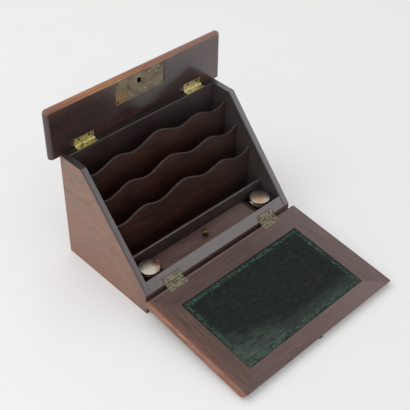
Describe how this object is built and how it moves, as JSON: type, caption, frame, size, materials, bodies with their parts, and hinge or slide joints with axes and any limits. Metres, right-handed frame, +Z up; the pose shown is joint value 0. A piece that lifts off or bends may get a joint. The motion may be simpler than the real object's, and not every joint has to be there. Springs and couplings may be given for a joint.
{
  "type": "writing box",
  "caption": "Sloping-front stationery box with a hinged lid, scalloped letter dividers, a covered pen tray, capped inkwells and a fall that opens into a writing slope.",
  "frame": {"origin": "middle of the case's underside, on the table", "axes": "+Z up, +Y towards the back of the case, +X to the right for a writer sitting in front of it"},
  "size_m": [0.352, 0.4223, 0.281],
  "materials": {
    "case_wood": "satin wax over worn mahogany",
    "inner_wood": "dull, dark with age",
    "cover_wood": "dull varnish",
    "lid_wood": "dark polish with bright worn edges",
    "fall_wood": "satin polish",
    "banding_wood": "satin polish over straight grain",
    "green_leather": "worn, with a faint tooled border",
    "hinge_brass": "rubbed bright",
    "aged_brass": "aged and dull",
    "pin_steel": "dull",
    "screw_brass": "aged",
    "lock_brass": "aged and dull",
    "lock_steel": "dull",
    "knob_brass": "aged",
    "ink_glass": "clear, slightly stained",
    "cap_metal": "plated, tarnished in patches",
    "cap_seal": "dark"
  },
  "bodies": {
    "case": {"side_left": "case_wood", "side_right": "case_wood", "back_panel": "inner_wood", "front_board": "case_wood", "base_board": "inner_wood", "divider_rear": "inner_wood", "divider_middle": "inner_wood", "divider_front": "inner_wood", "pen_partition": "inner_wood", "inkwell_partition_left": "inner_wood", "inkwell_partition_right": "inner_wood", "well_lining_left": "inner_wood", "well_lining_right": "inner_wood", "cover_ledge_left": "inner_wood", "cover_ledge_right": "inner_wood", "fall_hinge_left_case_leaf": "aged_brass", "fall_hinge_right_case_leaf": "aged_brass", "lid_hinge_left_case_leaf": "hinge_brass", "lid_hinge_right_case_leaf": "hinge_brass", "fall_hinge_left_pin": "pin_steel", "fall_hinge_right_pin": "pin_steel", "lid_hinge_left_pin": "pin_steel", "lid_hinge_right_pin": "pin_steel", "fall_hinge_case_screws": "screw_brass", "lid_hinge_case_screws": "screw_brass"},
    "lid": {"lid_board": "lid_wood", "lid_hinge_left_leaf": "hinge_brass", "lid_hinge_right_leaf": "hinge_brass", "lid_hinge_leaf_screws": "screw_brass", "lock_plate": "lock_brass", "lock_case": "lock_brass", "lock_rivets": "lock_brass", "lock_plate_screws": "screw_brass", "lock_spring": "lock_steel", "key_pin": "lock_steel", "key_escutcheon": "lock_brass"},
    "fall": {"fall_board": "fall_wood", "banding_hinge_side": "banding_wood", "banding_free_side": "banding_wood", "banding_left": "banding_wood", "banding_right": "banding_wood", "writing_leather": "green_leather", "fall_hinge_left_leaf": "aged_brass", "fall_hinge_right_leaf": "aged_brass", "fall_hinge_leaf_screws": "screw_brass", "lock_stud": "lock_brass"},
    "pen_cover": {"pen_cover": "cover_wood", "cover_knob": "knob_brass", "knob_screw": "screw_brass"},
    "lock_bolt": {"lock_bolt": "lock_steel"},
    "inkwell_left": {"ink_bottle_left": "ink_glass", "ink_collar_left": "cap_metal", "ink_cap_pin_left": "pin_steel"},
    "ink_cap_left": {"ink_cap_left": "cap_metal", "ink_cap_seal_left": "cap_seal"},
    "inkwell_right": {"ink_bottle_right": "ink_glass", "ink_collar_right": "cap_metal", "ink_cap_pin_right": "pin_steel"},
    "ink_cap_right": {"ink_cap_right": "cap_metal", "ink_cap_seal_right": "cap_seal"}
  },
  "joints": [
    {"name": "lid_hinge", "type": "hinge", "parent": "case", "child": "lid", "pos_m": [0, 0.0963, 0.1983], "axis": [-1, 0, 0], "range_deg": [-90, 0]},
    {"name": "fall_hinge", "type": "hinge", "parent": "case", "child": "fall", "pos_m": [0, -0.09853, 0.03507], "axis": [1, 0, 0], "range_deg": [-137.7, 0]},
    {"name": "pen_cover_lift", "type": "slide", "parent": "case", "child": "pen_cover", "axis": [0, 0, 1], "range_m": [0, 0.04]},
    {"name": "inkwell_left_lift", "type": "slide", "parent": "case", "child": "inkwell_left", "axis": [0, 0, 1], "range_m": [0, 0.06]},
    {"name": "inkwell_right_lift", "type": "slide", "parent": "case", "child": "inkwell_right", "axis": [0, 0, 1], "range_m": [0, 0.06]},
    {"name": "ink_cap_left_hinge", "type": "hinge", "parent": "inkwell_left", "child": "ink_cap_left", "pos_m": [-0.1038, -0.0616, 0.0486], "axis": [0, 1, 0], "range_deg": [0, 105]},
    {"name": "ink_cap_right_hinge", "type": "hinge", "parent": "inkwell_right", "child": "ink_cap_right", "pos_m": [0.1038, -0.0616, 0.0486], "axis": [0, -1, 0], "range_deg": [0, 105]},
    {"name": "lock_bolt_slide", "type": "slide", "parent": "lid", "child": "lock_bolt", "axis": [-1, 0, 0], "range_m": [0, 0.004]}
  ]
}
